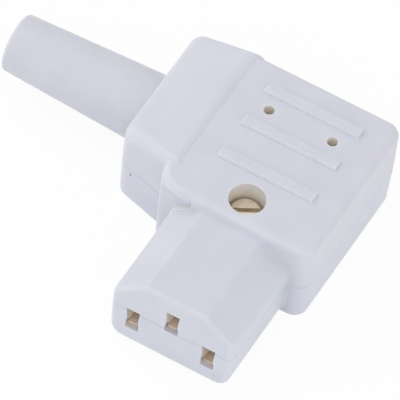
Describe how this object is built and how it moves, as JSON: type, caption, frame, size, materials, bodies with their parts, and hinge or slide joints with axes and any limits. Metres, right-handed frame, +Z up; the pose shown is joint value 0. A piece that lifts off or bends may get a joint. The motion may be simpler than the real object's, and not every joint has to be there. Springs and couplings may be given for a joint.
{
  "type": "right-angle rewirable appliance connector",
  "caption": "White right-angle rewirable appliance connector with slotted contact openings in its nose, a screwed cover and a tapered cable sleeve.",
  "frame": {"origin": "on the flat underside of the base shell, where the nose's centre plane crosses the cable's axis", "axes": "+Z up from the underside through the cover, -Y towards the nose face, -X along the cable sleeve towards its free end"},
  "size_m": [0.0655, 0.0509, 0.0181],
  "materials": {
    "base_plastic": "fine satin moulding",
    "cover_plastic": "fine satin moulding",
    "sleeve_plastic": "soft matte",
    "case_screw_metal": "dull plated",
    "steel": "zinc plated",
    "contact_brass": "stamped",
    "terminal_brass": "turned",
    "clamp_plastic": "fine satin moulding"
  },
  "bodies": {
    "root": {"base_shell": "base_plastic", "cover_shell": "cover_plastic", "cable_sleeve": "sleeve_plastic", "case_screw": "case_screw_metal", "case_screw_washer": "steel", "case_nut": "terminal_brass", "contact_line": "contact_brass", "contact_neutral": "contact_brass", "contact_earth": "contact_brass", "terminal_line": "terminal_brass", "terminal_neutral": "terminal_brass", "terminal_earth": "terminal_brass", "terminal_screw_line": "steel", "terminal_screw_neutral": "steel", "terminal_screw_earth": "steel", "wire_guard_line": "steel", "wire_guard_neutral": "steel", "wire_guard_earth": "steel", "cord_clamp": "clamp_plastic", "clamp_screw_front": "steel", "clamp_screw_back": "steel"}
  },
  "joints": []
}
